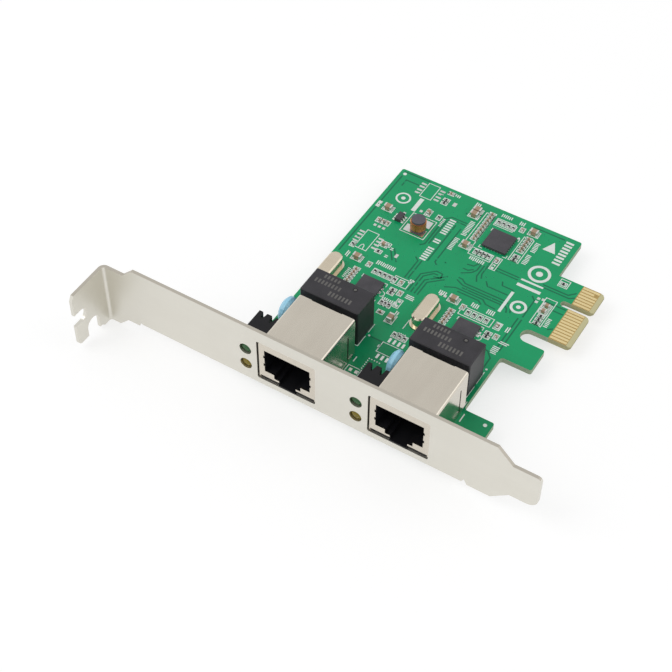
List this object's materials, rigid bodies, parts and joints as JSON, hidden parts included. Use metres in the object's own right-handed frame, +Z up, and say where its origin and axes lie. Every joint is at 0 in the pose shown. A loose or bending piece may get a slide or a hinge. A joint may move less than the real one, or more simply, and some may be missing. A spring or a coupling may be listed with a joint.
{
  "type": "network interface card",
  "caption": "Network interface card: a green circuit board with a notched edge tab, shielded modular sockets and indicator lamps behind a folded metal expansion-slot bracket.",
  "frame": {"origin": "on the outer face of the bracket's panel, midway between the two sockets, level with the component side of the board", "axes": "+X along the bracket towards its tail, and the way the edge tab points; +Y from the panel inward along the board; +Z up from the component side of the board"},
  "size_m": [0.12, 0.0945, 0.0221],
  "materials": {
    "bracket_steel": "nickel plated, satin",
    "screw_steel": "zinc plated",
    "board_green": "glass-fibre laminate with green solder mask",
    "contact_gold": "gold plated",
    "shield_nickel": "nickel plated, bright",
    "black_plastic": "moulded nylon, satin",
    "solder_tin": "tinned",
    "lens_green": "tinted epoxy, unlit",
    "lens_yellow": "tinted epoxy, unlit",
    "epoxy_black": "moulded epoxy",
    "dipped_blue": "dipped coating",
    "crystal_metal": "drawn can, bright",
    "ferrite_grey": "ground ferrite",
    "copper_wire": "enamelled copper",
    "resistor_black": "glazed",
    "ceramic_brown": "fired ceramic"
  },
  "bodies": {
    "root": {"bracket": "bracket_steel", "bracket_screw_1": "screw_steel", "bracket_screw_2": "screw_steel", "circuit_board": "board_green", "edge_contacts_top": "contact_gold", "edge_contacts_bottom": "contact_gold", "jack_shield_1": "shield_nickel", "jack_housing_1": "black_plastic", "jack_contacts_1": "contact_gold", "jack_pins_1": "solder_tin", "led_holder_1": "black_plastic", "led_green_1": "lens_green", "led_yellow_1": "lens_yellow", "led_leads_1": "solder_tin", "magnetics_1": "epoxy_black", "magnetics_pins_1": "solder_tin", "blue_capacitor_1": "dipped_blue", "capacitor_leads_1": "solder_tin", "lan_controller_1": "epoxy_black", "lan_controller_1_lands": "solder_tin", "crystal_base_1": "crystal_metal", "crystal_can_1": "crystal_metal", "crystal_leads_1": "solder_tin", "jack_shield_2": "shield_nickel", "jack_housing_2": "black_plastic", "jack_contacts_2": "contact_gold", "jack_pins_2": "solder_tin", "led_holder_2": "black_plastic", "led_green_2": "lens_green", "led_yellow_2": "lens_yellow", "led_leads_2": "solder_tin", "magnetics_2": "epoxy_black", "magnetics_pins_2": "solder_tin", "blue_capacitor_2": "dipped_blue", "capacitor_leads_2": "solder_tin", "lan_controller_2": "epoxy_black", "lan_controller_2_lands": "solder_tin", "crystal_base_2": "crystal_metal", "crystal_can_2": "crystal_metal", "crystal_leads_2": "solder_tin", "switch_chip": "epoxy_black", "switch_chip_lands": "solder_tin", "inductor_core": "ferrite_grey", "inductor_winding": "copper_wire", "voltage_regulator": "epoxy_black", "regulator_leads_right": "solder_tin", "regulator_leads_left": "solder_tin", "chip_resistors": "resistor_black", "chip_capacitors": "ceramic_brown", "medium_chip_capacitors": "ceramic_brown", "large_chip_capacitors": "ceramic_brown", "chip_end_caps": "solder_tin"}
  },
  "joints": []
}
